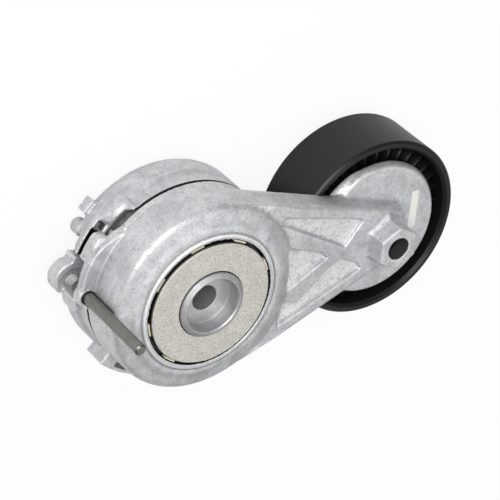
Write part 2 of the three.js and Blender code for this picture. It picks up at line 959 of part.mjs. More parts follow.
function pulleyShell() {
  const hubInner = bearingRadius + gap;
  const hubOuter = hubInner + hubWall;
  const webBack = bearingMiddle - webThickness / 2;
  const webFront = bearingMiddle + webThickness / 2;
  const profile = [
    [hubInner, bearingBack - hubInset],
    [hubOuter, bearingBack - hubInset],
    [hubOuter, webBack],
    [pulleyRimInner, webBack],
    [pulleyRimInner, pulleyBack],
    [pulleyRadius - pulleyEdge, pulleyBack],
    [pulleyRadius, pulleyBack + pulleyEdge],
    [pulleyRadius, pulleyFront - pulleyEdge],
    [pulleyRadius - pulleyEdge, pulleyFront],
    [pulleyMouth, pulleyFront],
    [pulleyRimInner, pulleyFront - pulleyMouthDepth],
    [pulleyRimInner, webFront],
    [hubOuter, webFront],
    [hubOuter, bearingFront - hubInset],
    [hubInner, bearingFront - hubInset],
  ];
  const shell = turned(profile, 2 * ribCount).rotate([0, 0, ribPhaseAzimuth + 90 + 90 / ribCount]);
  const middle = (hubOuter + pulleyRimInner) / 2;
  const length = pulleyRimInner - hubOuter + overlap;
  const ribs = Array.from({ length: ribCount }, (_, i) => {
    const rib = new THREE.BoxGeometry(length, ribThickness, ribTop - ribBottom);
    rib.translate(middle, 0, (ribTop + ribBottom) / 2);
    rib.rotateZ(THREE.MathUtils.degToRad(ribPhaseAzimuth + (360 * i) / ribCount));
    return solid(rib);
  });
  return joined(shell, ...ribs);
}

// The ring's groove is an arc concentric with the balls
function bearingInnerRing() {
  const outer = bearingBore + innerRingWall;
  const half = THREE.MathUtils.radToDeg(Math.acos((raceRadius - outer) / raceGroove));
  const groove = arc(raceRadius, bearingMiddle, raceGroove, 180 + half, 180 - half, grooveSteps);
  const profile = [
    [bearingBore, bearingBack],
    [outer, bearingBack],
    ...groove,
    [outer, bearingFront],
    [bearingBore, bearingFront],
  ];
  return turned(profile, smallSides);
}

function bearingOuterRing() {
  const inner = bearingRadius - outerRingWall;
  const half = THREE.MathUtils.radToDeg(Math.acos((inner - raceRadius) / raceGroove));
  const groove = arc(raceRadius, bearingMiddle, raceGroove, half, -half, grooveSteps);
  const profile = [
    [inner, bearingBack],
    [bearingRadius, bearingBack],
    [bearingRadius, bearingFront],
    [inner, bearingFront],
    ...groove,
  ];
  return turned(profile, middleSides);
}

function ballCage() {
  const low = bearingMiddle - cageHalfHeight;
  const high = bearingMiddle + cageHalfHeight;
  const inner = raceRadius - cageThickness / 2;
  const ring = tube(inner, inner + cageThickness, low, high, smallSides);
  const pocketBall = solid(new THREE.SphereGeometry(raceGroove, ballSides, ballRings));
  return cut(ring, ...ballPlaces().map((place) => pocketBall.translate(place)));
}

function ballPlaces() {
  return Array.from({ length: ballCount }, (_, i) => {
    const spot = polar(raceRadius, (360 * i) / ballCount);
    return [spot.x, spot.y, bearingMiddle];
  });
}

function seal(bottom) {
  const inner = bearingBore + innerRingWall + gap;
  const outer = bearingRadius - outerRingWall - gap;
  return tube(inner, outer, bottom, bottom + sealThickness, smallSides);
}

function frontDustShield() {
  const bore = boltRadius + gap;
  const back = bearingFront + gap;
  const profile = [
    [bore, back],
    [seatRadius + gap, back],
    [dustDishRadius, back + dustRise],
    [dustRadius, back + dustRise],
    [dustRadius, back + dustRise + dustThickness],
    [dustDishRadius - dustThickness, back + dustRise + dustThickness],
    [seatRadius, back + dustThickness],
    [bore, back + dustThickness],
  ];
  return turned(profile, middleSides);
}

function pulleySleeve() {
  const bore = boltRadius + gap;
  const outer = bearingBore - gap;
  const flangeTop = bearingBack - gap;
  const flangeBack = flangeTop - flangeThickness;
  const profile = [
    [bore, flangeBack],
    [flangeRadius, flangeBack],
    [flangeRadius, flangeTop],
    [outer, flangeTop],
    [outer, bearingFront],
    [bore, bearingFront],
  ];
  return turned(profile, smallSides);
}

function pulleyBolt() {
  const headTop = bearingBack - gap - flangeThickness - gap;
  const head = raised(hexagon(boltHeadFlats), headTop - boltHeadHeight, headTop, 1);
  const shank = turned(
    [
      [0, headTop - overlap],
      [boltRadius, headTop - overlap],
      [boltRadius, boltEnd - boltChamfer],
      [boltRadius - boltChamfer, boltEnd],
      [0, boltEnd],
    ],
    smallSides,
  );
  return joined(head, shank);
}

// Materials and scene graph

function finish(color, metalness, roughness) {
  return new THREE.MeshStandardMaterial({ color, metalness, roughness });
}

const castAluminium = finish(0xb9bac0, 0.8, 0.55);
const zincPlate = finish(0xd9d3bd, 0.6, 0.5);
const greySteel = finish(0xa3a5a8, 0.9, 0.4);
const darkSteel = finish(0x6d6d68, 0.8, 0.5);
const springSteel = finish(0x4a4b4f, 0.8, 0.5);
const blackPlastic = finish(0x232426, 0, 0.6);
const darkPolymer = finish(0x3b3a3c, 0, 0.7);
const creamPolymer = finish(0xd5cdb0, 0, 0.6);
const bronze = finish(0x9a7a45, 0.7, 0.5);
const brightSteel = finish(0xd6d8dc, 0.9, 0.2);
const sealRubber = finish(0x1c1c1e, 0, 0.8);

function node(name, body, material) {
  const { vertProperties, triVerts } = body.getMesh();
  const geometry = new THREE.BufferGeometry();
  geometry.setAttribute("position", new THREE.BufferAttribute(vertProperties, 3));
  geometry.setIndex(new THREE.BufferAttribute(triVerts, 1));
  const faceted = geometry.toNonIndexed();
  faceted.computeVertexNormals();
  const mesh = new THREE.Mesh(faceted, material);
  mesh.name = name;
  return mesh;
}

const base = new THREE.Group();
base.add(
  node("base_housing", baseHousing(), castAluminium),
  node("pivot_spindle", pivotSpindle(), greySteel),
  node("front_disc", frontDisc(), zincPlate),
  node("torsion_spring", torsionSpring(), springSteel),
);

const pulley = new THREE.Group();
pulley.add(
  node("pulley_shell", pulleyShell(), blackPlastic),
  node("bearing_inner_ring", bearingInnerRing(), brightSteel),
  node("bearing_outer_ring", bearingOuterRing(), brightSteel),
  node("ball_cage", ballCage(), bronze),
  node("seal_rear", seal(bearingBack + sealInset), sealRubber),
  node("seal_front", seal(bearingFront - sealInset - sealThickness), sealRubber),
  node("front_dust_shield", frontDustShield(), zincPlate),
  node("pulley_sleeve", pulleySleeve(), greySteel),
  node("pulley_bolt", pulleyBolt(), darkSteel),
);
const ball = solid(new THREE.SphereGeometry(ballRadius, ballSides, ballRings));
ballPlaces().forEach((place, i) => {
  const mesh = node(`ball_${i + 1}`, ball, brightSteel);
  mesh.position.set(...place);
  pulley.add(mesh);
});
pulley.position.set(armLength, 0, 0);

const pin = node("lock_pin", lockPin(), darkSteel);
pin.position.set(...pinPlace());

const arm = new THREE.Group();
arm.add(
  node("arm_casting", armCasting(), castAluminium),
  node("pivot_bush", pivotBush(), bronze),
  node("thrust_washer", thrustWasher(), creamPolymer),
  node("rear_thrust_washer", rearThrustWasher(), creamPolymer),
  node("damper_ring", damperRing(), darkPolymer),
  node("damper_band", damperBand(), springSteel),
  pin,
  pulley,
);

const tensioner = new THREE.Group();
tensioner.add(base, arm);

export default tensioner;
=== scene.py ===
# A belt tensioner in a soft, white studio: die-cast base and arm, steel pivot, lock pin and a
# black ribbed pulley. Lengths are in metres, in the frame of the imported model: +Z runs along the
# pivot out of the front disc, and +X from the pivot to the pulley. Places on the castings are in
# millimetres and degrees.

import json
import math

import bmesh
import bpy
import numpy as np
from mathutils import Euler, Matrix, Vector


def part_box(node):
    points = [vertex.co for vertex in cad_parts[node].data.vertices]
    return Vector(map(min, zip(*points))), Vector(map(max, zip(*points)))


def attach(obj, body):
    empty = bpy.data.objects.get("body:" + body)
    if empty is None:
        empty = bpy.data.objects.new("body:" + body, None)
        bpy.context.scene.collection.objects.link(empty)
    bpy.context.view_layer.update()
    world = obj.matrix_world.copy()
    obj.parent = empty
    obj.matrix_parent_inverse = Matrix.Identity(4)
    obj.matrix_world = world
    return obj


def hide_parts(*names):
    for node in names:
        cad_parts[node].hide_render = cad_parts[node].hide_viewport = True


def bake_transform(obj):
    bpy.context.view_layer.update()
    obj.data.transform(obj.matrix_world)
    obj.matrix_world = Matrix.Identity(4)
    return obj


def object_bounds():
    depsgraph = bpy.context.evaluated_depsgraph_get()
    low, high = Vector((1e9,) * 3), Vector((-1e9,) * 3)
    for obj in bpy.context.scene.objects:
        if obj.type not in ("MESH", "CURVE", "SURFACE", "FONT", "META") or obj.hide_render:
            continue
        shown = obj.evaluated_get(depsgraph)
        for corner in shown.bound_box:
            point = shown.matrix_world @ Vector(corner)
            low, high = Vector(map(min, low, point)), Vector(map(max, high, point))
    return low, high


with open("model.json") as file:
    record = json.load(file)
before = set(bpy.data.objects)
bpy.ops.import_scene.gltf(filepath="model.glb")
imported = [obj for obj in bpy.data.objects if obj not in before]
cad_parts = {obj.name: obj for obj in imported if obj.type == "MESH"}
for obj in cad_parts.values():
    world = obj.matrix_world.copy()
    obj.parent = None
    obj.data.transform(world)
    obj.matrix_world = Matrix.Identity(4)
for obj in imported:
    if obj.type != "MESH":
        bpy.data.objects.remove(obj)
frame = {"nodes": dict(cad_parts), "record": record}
cad_low, cad_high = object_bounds()
nodes = frame["nodes"]

MM = 0.001
WELD = 0.001 * MM  # points closer than this are one
TINY = 0.01 * MM

# Camera
CAMERA_PLACE = (-0.39406726, 0.45208844, 0.59703963)
CAMERA_TURN = (-35.40406, -33.08376, 5.68853)
CAMERA_LENS = 174.39845
CAMERA_SENSOR = 36

# Studio
FLOOR_SIZE = 4
WORLD_GREY = 0.23
KEY_FROM = (-0.47, 0.52, 0.68)
KEY_SIZE = 0.6
KEY_POWER = 8
OVER_FROM = (0.2, -0.15, 0.9)
OVER_SIZE = 1.3
OVER_POWER = 5

# Castings
CELL = 0.4 * MM
HOLLOW_RADIUS = 1.5 * MM
WIDE_HOLLOW_RADIUS = 4 * MM
EDGE_RADIUS = 0.6 * MM
GRAIN = 0.01 * MM
BLUR_TIMES = 40
SETTLE_TIMES = 6
EASE_TIMES = 30
WIDE_EASE_TIMES = 60
FACE_LIMIT = 150000
CASTING_SIDES = 56

# Turned pieces
TURNED_SIDES = 144
SUPPORT = 0.15 * MM
ROUND_SHARE = 0.42  # the most of a side that a round may take

ROUNDS = {
    "pivot_spindle": 0.35 * MM,
    "front_disc": 0.3 * MM,
    "lock_pin": 0.2 * MM,
    "front_dust_shield": 0.15 * MM,
    "pulley_sleeve": 0.25 * MM,
    "bearing_inner_ring": 0.25 * MM,
    "bearing_outer_ring": 0.25 * MM,
    "seal_front": 0.15 * MM,
    "seal_rear": 0.15 * MM,
    "pivot_bush": 0.15 * MM,
    "rear_thrust_washer": 0.15 * MM,
}

# Pulley
RIBS = 34
SHELL_ROUND = 0.5 * MM
RIB_EASE = 0.25 * MM

# Forms about the pivot
SECTOR_SECTIONS = 12
OUTSIDE = 90  # a radius beyond every piece of the base

# Zones about an axis: from and to a height, a radius and an azimuth
ALL_ROUND = (-181, 181)
ANY_RADIUS = (0, 200)
BASE_RIM = ((18.3, 19), (33, 36.4), ALL_ROUND)
BASE_WALL_SEAM = ((3, 17.5), (35, 99), (112, 119.5))
LEDGE_FACE = ((13.7, 14.3), (36.6, 99), (143.5, 158.5))
ARM_RIM = ((18.9, 19.3), (30, 36.3), ALL_ROUND)
ARM_WALL = ((19.6, 30), ANY_RADIUS, (60, 140))
ARM_WALL_SEAM = ((20.5, 24), ANY_RADIUS, (105, 136))
SHOULDER_FOOT = ((31, 99), (29, 41), (-85, 85))
SHIELD_FOOT = ((23.5, 30), (0, 26), ALL_ROUND)
SHIELD_SIDE = ((22.5, 25.4), ANY_RADIUS, (60, 180))
POCKETS = ((0, 99), (33.5, 99), (-90, 90))

# Zones cut out of the arm's skin, so that it clears the window's sill and the ledge
TAB_OUTSIDE = ((13, 18.9), (34.7, 36.6), (137.5, 142.8))
UNDER_TANG = ((13, 15.5), (36.4, 43), (139, 159))
BEHIND_TANG = ((13.1, 18.8), (35.9, 37.1), (141, 159))

# Zones with a paint of their own
# Painted shade: the base's rim and the arm's edge down in the gap between them are painted near black, as
# the gap's shadow
BASE_GAP_SHADE = ((17.9, 18.8), (30, 36.15), ALL_ROUND)
ARM_GAP_SHADE = ((19, 19.3), (30, 36.15), ALL_ROUND)
LEDGE_SHADOW = ((13.3, 14.1), (36.6, 41.1), (142.6, 158))
NOTCH_SHADOW = ((10.9, 13.4), (36.2, 39.9), (138.6, 142.7))
# Fine teeth painted dark on the window's sill: a tooth pattern, darkened as painted shade in the window
SILL_TEETH_AND_SHADE = ((14, 15.2), (31, 35.2), (117, 143))
# A thin bright ring on the lip's edge: partly wear, partly a painted highlight
LIP_EDGE_WEAR_AND_HIGHLIGHT = ((37, 41), (25.6, 26.1), ALL_ROUND)
LIP_FOOT_SHADOW = ((37, 41), (26.4, 27), ALL_ROUND)
LABEL = ((94, 97.2), (-3.6, 11.9), (24, 26))  # along X, Y and Z
DAMPER_SHADOW = 17.4
# The thrust washer is painted black below this height
WASHER_BLACK_BELOW = 37.2

# Window and ledge of the base
RIM_RADIUS = 36.2
RIM_SINK = 0.35 * MM
LEDGE_SINK = 0.2 * MM
LEDGE_EDGE = 13.7
SILL_AZIMUTHS = (117, 137)
SILL_INSIDE = 35.3
SILL_UNDERSIDE = 13
SILL_TOP = 14.9
SILL_EDGE = 13.9
SILL_CLIMB = 3.6
SILL_INSET = 0.1
SILL_SECTIONS = 41
RIM_INSET = 0.2
RIM_START_INSET = 0.7
FOOT_START_INSET = 0.8
CLIMB_AZIMUTHS = (120.6, 127)
NOTCH_AZIMUTHS = (138.3, 139.5, 141, 143.5)
NOTCH_INSIDE = 36.4
NOTCH_FLOOR = (10.4, 12.4)
NOTCH_TOP = 16
NOTCH_LIP = 1

# Lip, shoulder and shield of the arm
ARM_RIM_LIFT = 0.1 * MM
WALL_ERROR = 0.3
LIP_REACH = 27
LIP_STEP = 0.7 * MM
LIP_STEP_RADII = (26, 26.4)
LIP_STEP_FADE = 4.5
LIP_STEP_END = 31.5
LIP_STEP_WIDENS = 3
LIP_STEP_AZIMUTHS = (40, 70)
SHOULDER_BOTTOM = 35
HEXAGON_BOTTOM = 35
SHIELD_STEP = 1.2 * MM
SHIELD_STEP_WIDTH = 0.9
SHIELD_RADIUS = 26.4
SHIELD_NARROWS = 3
SHIELD_NARROW_AZIMUTHS = (95, 140)
SHIELD_STEP_AZIMUTHS = (95, 120)
BEAM_SIDE = 6 * MM

# Beam of the arm: the height of its top at its root and over the pulley's axis
BEAM_ROOT = 26
BEAM_ROOT_TOP = 36
BEAM_TIP_TOP = 31.6
POCKET_DEPTHS = (1.1, 2.2)
POCKET_END = 70
LEVEL = 0.95

# Reaches of the castings' round walls
EVERYTHING = 1
BELL_REACH = 43 * MM
SHIELD_REACH = 26.6 * MM


def axis_of(node):
    """The middle of a node's box, where a turned piece has its axis."""
    low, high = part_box(node)
    return (Vector(low) + Vector(high)) / 2


PIVOT = Vector((0, 0, 0))
PULLEY = axis_of("pulley_shell")
SLOTS = {part["node"]: part["material_slot"] for part in frame["record"]["subparts"]}
BODIES = {node: body for body, members in frame["record"]["behaviour"]["bodies"].items() for node in members}

arm_points = [v.co for v in nodes["arm_casting"].data.vertices]
DISC_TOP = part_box("front_disc")[1][2] / MM
LIP_TOP = max(point.z for point in arm_points if point.xy.length < LIP_REACH * MM) / MM
top_points = [point for point in arm_points if point.z > HEXAGON_BOTTOM * MM]
HEXAGON_BORE = min((point.xy - PULLEY.xy).length for point in top_points) / MM
RECESS_SHADOW = ((30, LIP_TOP - 0.25), (20, 24.8), ALL_ROUND)


def new_object(name, mesh):
    piece = bpy.data.objects.new(name, mesh)
    bpy.context.collection.objects.link(piece)
    return piece


def dress(piece, node, material=None):
    """The piece takes the node's material and its share of the model."""
    piece.data.materials.clear()
    piece.data.materials.append(material or materials[SLOTS[node]])
    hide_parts(node)


def stand_in(piece, node, material=None):
    """The piece takes the node's place and rides on its body."""
    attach(piece, BODIES[node])
    dress(piece, node, material)


def welded(mesh):
    """A mesh opened for work, with its doubled points joined."""
    shape = bmesh.new()
    shape.from_mesh(mesh)
    bmesh.ops.remove_doubles(shape, verts=shape.verts[:], dist=WELD)
    return shape


def put_back(shape, mesh):
    shape.to_mesh(mesh)
    shape.free()


# Castings


class Surface:
    """A fine mesh whose points can be moved towards, or away from, their neighbours."""

    def __init__(self, mesh):
        self.mesh = mesh
        self.points = np.empty(len(mesh.vertices) * 3)
        mesh.vertices.foreach_get("co", self.points)
        self.points = self.points.reshape(-1, 3)
        ends = np.empty(len(mesh.edges) * 2, dtype=np.int32)
        mesh.edges.foreach_get("vertices", ends)
        self.first, self.second = ends.reshape(-1, 2).T
        self.valence = self.around(np.ones(len(self.points)))

    def around(self, values):
        """The sum of the neighbours' values at each point."""
        size = len(self.points)
        total = np.bincount(self.first, weights=values[self.second], minlength=size)
        return total + np.bincount(self.second, weights=values[self.first], minlength=size)

    def lean(self):
        """From each point to the middle of its neighbours."""
        middles = [self.around(column) / self.valence for column in self.points.T]
        return np.stack(middles, axis=1) - self.points

    def normals(self):
        self.mesh.vertices.foreach_set("co", self.points.ravel())
        self.mesh.update()
        normals = np.empty(len(self.points) * 3)
        self.mesh.vertex_normals.foreach_get("vector", normals)
        return normals.reshape(-1, 3)

    def spread(self, values, times):
        for _ in range(times):
            values = (values + self.around(values) / self.valence) / 2
        return values

    def blur(self, times, where):
        """Draws the points of one place to the middle of their neighbours."""
        for _ in range(times):
            self.points += 0.5 * self.lean() * where[:, None]

    def roughen(self, normals):
        """A little even grain, so that fewer faces means even ones and not long ones."""
        grain = np.random.default_rng(1).uniform(-GRAIN, GRAIN, len(self.points))
        self.points += normals * grain[:, None]
        self.normals()

    def settle(self, times):
        """Evens the surface out and keeps its volume."""
        for _ in range(times):
            self.points += 0.5 * self.lean()
            self.points -= 0.52 * self.lean()

    def ease(self, hollow, edge, times, where=1):
        """Fills hollows tighter than one radius and takes down edges sharper than another."""
        for _ in range(times):
            normals = self.normals()
            lift = (self.lean() * normals).sum(axis=1)
            fill = np.clip(lift - CELL**2 / (4 * hollow), 0, None)
            shave = np.clip(lift + CELL**2 / (4 * edge), None, 0)
            self.points += 0.8 * normals * (where * (fill + shave))[:, None]

    def bend(self):
        """How strongly each point stands out: 1 on an edge, 0 on a flat, -1 in a hollow."""
        lift = (self.lean() * self.normals()).sum(axis=1)
        return np.clip(-self.spread(lift, 3) * 4 * EDGE_RADIUS / CELL**2, -1, 1)


def loft(shape, sections):
    """A closed form through sections of as many corners each."""
    rings = [[shape.verts.new(corner) for corner in ring] for ring in sections]
    for here, there in zip(rings, rings[1:]):
        for i in range(len(here)):
            j = (i + 1) % len(here)
            shape.faces.new((here[i], here[j], there[j], there[i]))
    shape.faces.new(rings[0][::-1])
    shape.faces.new(rings[-1])


def in_cells(node, added, removed):
    """A copy of a node's body, with forms cast on and cut out, laid out again in fine, even cells."""
    piece = new_object(node + "_skin", nodes[node].data.copy())
    put_back(welded(piece.data), piece.data)
    for sections in removed:
        cutter = new_object("cutter", bpy.data.meshes.new("cutter"))
        shape = bmesh.new()
        loft(shape, sections)
        bmesh.ops.recalc_face_normals(shape, faces=shape.faces[:])
        put_back(shape, cutter.data)
        cut = piece.modifiers.new("cut", "BOOLEAN")
        cut.object = cutter
        flatten(piece)
        bpy.data.objects.remove(cutter)
    shape = bmesh.new()
    shape.from_mesh(piece.data)
    for sections in added:
        loft(shape, sections)
    put_back(shape, piece.data)
    cells = piece.modifiers.new("cells", "REMESH")
    cells.mode = "VOXEL"
    cells.voxel_size = CELL
    flatten(piece)
    return piece


def flatten(piece):
    """Makes what a piece's modifiers give into its mesh."""
    bpy.context.view_layer.update()
    shown = piece.evaluated_get(bpy.context.evaluated_depsgraph_get())
    mesh = bpy.data.meshes.new_from_object(shown)
    piece.modifiers.clear()
    piece.data = mesh


def make_round(points, centre, reach):
    """Moves points near an axis from the flats of a many-sided form out to its true circle."""
    x = points[:, 0] - centre.x
    y = points[:, 1] - centre.y
    step = 2 * math.pi / CASTING_SIDES
    offset = (np.arctan2(y, x) + math.pi / 2) % step - step / 2
    factor = np.cos(offset) / math.cos(step / 2)
    factor = np.where(np.hypot(x, y) < reach, factor, 1)
    points[:, 0] = centre.x + x * factor
    points[:, 1] = centre.y + y * factor


def cast(node, axes, mould, added=(), removed=(), floors=None):
    """A die-cast body: true round walls, filleted hollows, eased edges, and a map of its edges and hollows
    for the paint: worn edges with a painted highlight, and painted shade in the hollows.
    """
    piece = in_cells(node, added, removed)
    surface = Surface(piece.data)
    for centre, reach in axes:
        make_round(surface.points, centre, reach)
    seams, wide_hollows = mould(surface.points)
    surface.blur(BLUR_TIMES, seams)
    surface.settle(SETTLE_TIMES)
    surface.ease(HOLLOW_RADIUS, EDGE_RADIUS, EASE_TIMES)
    if wide_hollows is not None:
        surface.ease(WIDE_HOLLOW_RADIUS, EDGE_RADIUS, WIDE_EASE_TIMES, wide_hollows)
    surface.settle(2)
    keep_values(piece, "wear", surface.bend())
    normals = surface.normals()
    if floors:
        keep_values(piece, "floor", surface.spread(floors(surface.points, normals), 2))
    for axis in range(3):
        keep_values(piece, "normal_" + "xyz"[axis], normals[:, axis])
    surface.roughen(normals)
    fewer = piece.modifiers.new("fewer", "DECIMATE")
    fewer.ratio = min(1, FACE_LIMIT / (2 * len(piece.data.polygons)))
    flatten(piece)
    piece.data.shade_smooth()
    fine = np.stack([kept_values(piece, "normal_" + axis) for axis in "xyz"], axis=1)
    fine /= np.linalg.norm(fine, axis=1, keepdims=True)
    piece.data.normals_split_custom_set_from_vertices(fine)
    return piece


def keep_values(piece, name, values):
    piece.data.attributes.new(name, "FLOAT", "POINT").data.foreach_set("value", values)


def kept_values(piece, name):
    """The values under a name, which then goes."""
    kept = piece.data.attributes[name]
    values = np.empty(len(kept.data))
    kept.data.foreach_get("value", values)
    piece.data.attributes.remove(kept)
    return values


def rise(value, low, high):
    """0 below one value, 1 above another, and a smooth step between."""
    share = np.clip((value - low) / (high - low), 0, 1)
    return share * share * (3 - 2 * share)


# Turned pieces


def section(node, centre):
    """Half a turned node's section, as closed loops of radius and height."""
    shape = welded(nodes[node].data)
    corner = max((v.co - centre for v in shape.verts), key=lambda spot: spot.xy.length)
    azimuth = math.atan2(corner.y, corner.x) + 0.001
    across = Vector((math.cos(azimuth), math.sin(azimuth), 0))
    side = Vector((-across.y, across.x, 0))
    everything = shape.verts[:] + shape.edges[:] + shape.faces[:]
    found = bmesh.ops.bisect_plane(
        shape, geom=everything, plane_co=centre, plane_no=side, clear_inner=True, clear_outer=True
    )
    edges = [item for item in found["geom_cut"] if isinstance(item, bmesh.types.BMEdge)]
    left = [edge for edge in edges if max((v.co - centre).dot(across) for v in edge.verts) > TINY]
    loops = []
    while left:
        ends = [v for edge in left for v in edge.verts if sum(e in left for e in v.link_edges) == 1]
        here = ends[0] if ends else left[0].verts[0]
        loop = [here]
        while following := next((edge for edge in here.link_edges if edge in left), None):
            left.remove(following)
            here = following.other_vert(here)
            loop.append(here)
        spots = [Vector((max((v.co - centre).dot(across), 0), v.co.z)) for v in loop]
        loops.append(corners_of(spots))
    shape.free()
    return loops


def corners_of(spots):
    """A closed loop without its doubled points and those that lie on a straight line."""
    kept = [spots[0]]
    for spot in spots[1:]:
        if (spot - kept[-1]).length > TINY:
            kept.append(spot)
    if (kept[0] - kept[-1]).length < TINY:
        kept.pop()
    corners = []
    for i, here in enumerate(kept):
        before = here - kept[i - 1]
        after = kept[(i + 1) % len(kept)] - here
        if abs(before.normalized().cross(after.normalized())) > 0.01:
            corners.append(here)
    return corners


def round_corners(corners, radius, steps=4):
    """A closed outline with an arc in place of each corner, and a support point beside each arc."""
    outline = []
    for i, here in enumerate(corners):
        back = corners[i - 1] - here
        ahead = corners[(i + 1) % len(corners)] - here
        if here.x < TINY:
            outline.append(here)
            continue
        reach = radius / math.tan(back.angle(ahead) / 2)
        reach = min(reach, ROUND_SHARE * back.length, ROUND_SHARE * ahead.length)
        start = here + back.normalized() * reach
        end = here + ahead.normalized() * reach
        if back.length > 4 * (reach + SUPPORT):
            outline.append(start + back.normalized() * SUPPORT)
        for step in range(steps + 1):
            t = step / steps
            outline.append(start * (1 - t) ** 2 + here * 2 * t * (1 - t) + end * t**2)
        if ahead.length > 4 * (reach + SUPPORT):
            outline.append(end + ahead.normalized() * SUPPORT)
    return outline


def turned(name, outlines, centre, sides=TURNED_SIDES):
    """A body of revolution about a vertical axis, from outlines of radius and height."""
    shape = bmesh.new()
    for outline in outlines:
        points = [shape.verts.new((centre.x + r, centre.y, z)) for r, z in outline]
        edges = [
            shape.edges.new((points[i - 1], points[i]))
            for i in range(len(points))
            if outline[i - 1].x + outline[i].x > 0
        ]
        bmesh.ops.spin(
            shape,
            geom=points + edges,
            cent=centre,
            axis=(0, 0, 1),
            steps=sides,
            angle=2 * math.pi,
            use_merge=True,
        )
    bmesh.ops.remove_doubles(shape, verts=shape.verts[:], dist=WELD)
    bmesh.ops.recalc_face_normals(shape, faces=shape.faces[:])
    mesh = bpy.data.meshes.new(name)
    put_back(shape, mesh)
    mesh.shade_smooth()
    return new_object(name, mesh)


# Materials


class Value:
    """A shader socket that sums can be written with. Each operator adds one Math node."""

    def __init__(self, paint, socket):
        self.paint = paint
        self.socket = socket

    def math(self, operation, *numbers):
        inputs = dict(enumerate(numbers))
        return self.paint.node("Math", {"operation": operation}, inputs)

    def __add__(self, other):
        return self.math("ADD", self, other)

    def __radd__(self, other):
        return self.math("ADD", other, self)

    def __sub__(self, other):
        return self.math("SUBTRACT", self, other)

    def __rsub__(self, other):
        return self.math("SUBTRACT", other, self)

    def __mul__(self, other):
        return self.math("MULTIPLY", self, other)

    def __rmul__(self, other):
        return self.math("MULTIPLY", other, self)


class Paint:
    """A material while it is made: its shader, and one method that adds any node."""

    def __init__(self, name, **fixed):
        self.material = bpy.data.materials.new(name)
        self.material.use_nodes = True
        self.tree = self.material.node_tree
        self.shader = self.tree.nodes["Principled BSDF"]
        for socket, value in fixed.items():
            self.shader.inputs[socket.replace("_", " ")].default_value = value

    def node(self, kind, settings, inputs, output=0):
        """Adds a node, sets its settings, then its sockets, and gives one of its outputs."""
        made = self.tree.nodes.new("ShaderNode" + kind)
        for name, setting in settings.items():
            if name == "stops":
                set_stops(made.color_ramp, setting)
            else:
                setattr(made, name, setting)
        for name, value in inputs.items():
            if isinstance(value, Value):
                self.tree.links.new(value.socket, made.inputs[name])
            else:
                made.inputs[name].default_value = value
        return Value(self, made.outputs[output])

    def feed(self, socket, value):
        self.tree.links.new(value.socket, self.shader.inputs[socket])

    def place(self):
        """The surface point in millimetres, which moves with the piece."""
        point = self.node("TexCoord", {}, {}, "Object")
        return self.node("VectorMath", {"operation": "SCALE"}, {"Vector": point, "Scale": 1000})

    def split(self, place):
        """The x, y and z of a point."""
        x = self.node("SeparateXYZ", {}, {"Vector": place})
        return [Value(self, output) for output in x.socket.node.outputs]

    def kept(self, name):
        """A value kept with the points of a piece, such as how far it stands out: 1 on an edge, -1 in a
        hollow.
        """
        return self.node("Attribute", {"attribute_name": name}, {}, "Fac")

    def radius_and_angle(self, x, y):
        """How far a point lies from an axis, in millimetres, and its azimuth in degrees."""
        square = x * x + y * y
        return square.math("SQRT", square), y.math("ARCTAN2", y, x) * math.degrees(1)

    def teeth(self, angle):
        """0 and 1 by turns, for fine teeth round the pivot."""
        turns = angle * 6
        return turns.math("SINE", turns) * 0.5 + 0.5

    def above(self, value, level):
        """1 above a level and 0 below it."""
        return self.node("Math", {"operation": "GREATER_THAN"}, {0: value, 1: level})

    def within(self, value, low, high):
        """1 between two values and 0 outside them."""
        return self.above(value, low) * self.node("Math", {"operation": "LESS_THAN"}, {0: value, 1: high})

    def inside(self, values, bounds):
        """1 where each of three values lies within its own bounds."""
        first, second, third = [self.within(value, *pair) for value, pair in zip(values, bounds)]
        return first * second * third

    def crevice(self, reach):
        """1 deep in a gap, 0 in the open, felt out over so many millimetres: the mask for painted shade."""
        light = self.node("AmbientOcclusion", {"samples": 8}, {"Distance": reach * MM}, "AO")
        return self.ramp(light, (0.15, 1), (0.5, 0))

    def noise(self, grain, detail=3, roughness=0.6, place=None, warp=0):
        """Cloudy noise from 0 to 1 with clouds about grain millimetres across."""
        inputs = {
            "Vector": place or self.place(),
            "Scale": 1 / grain,
            "Detail": detail,
            "Roughness": roughness,
            "Distortion": warp,
        }
        return self.node("TexNoise", {}, inputs)

    def ramp(self, value, *stops):
        """A value carried through straight steps: pairs of place and grey level."""
        greys = [(at, (level, level, level, 1)) for at, level in stops]
        return self.node("ValToRGB", {"stops": greys}, {"Fac": value})

    def mix(self, amount, first, second):
        """The first colour, or the second where the amount is 1."""
        return self.node("Mix", {"data_type": "RGBA"}, {0: amount, 6: first, 7: second}, 2)

    def bump(self, height, depth):
        """Raises the surface by height times depth, in millimetres."""
        return self.node("Bump", {}, {"Height": height, "Distance": depth * MM, "Strength": 1})


def set_stops(ramp, stops):
    while len(ramp.elements) < len(stops):
        ramp.elements.new(1)
    for element, (at, color) in zip(ramp.elements, stops):
        element.position = at
        element.color = color


def grey(level, tint=(0, 0, 0)):
    return (level + tint[0], level + tint[1], level + tint[2], 1)


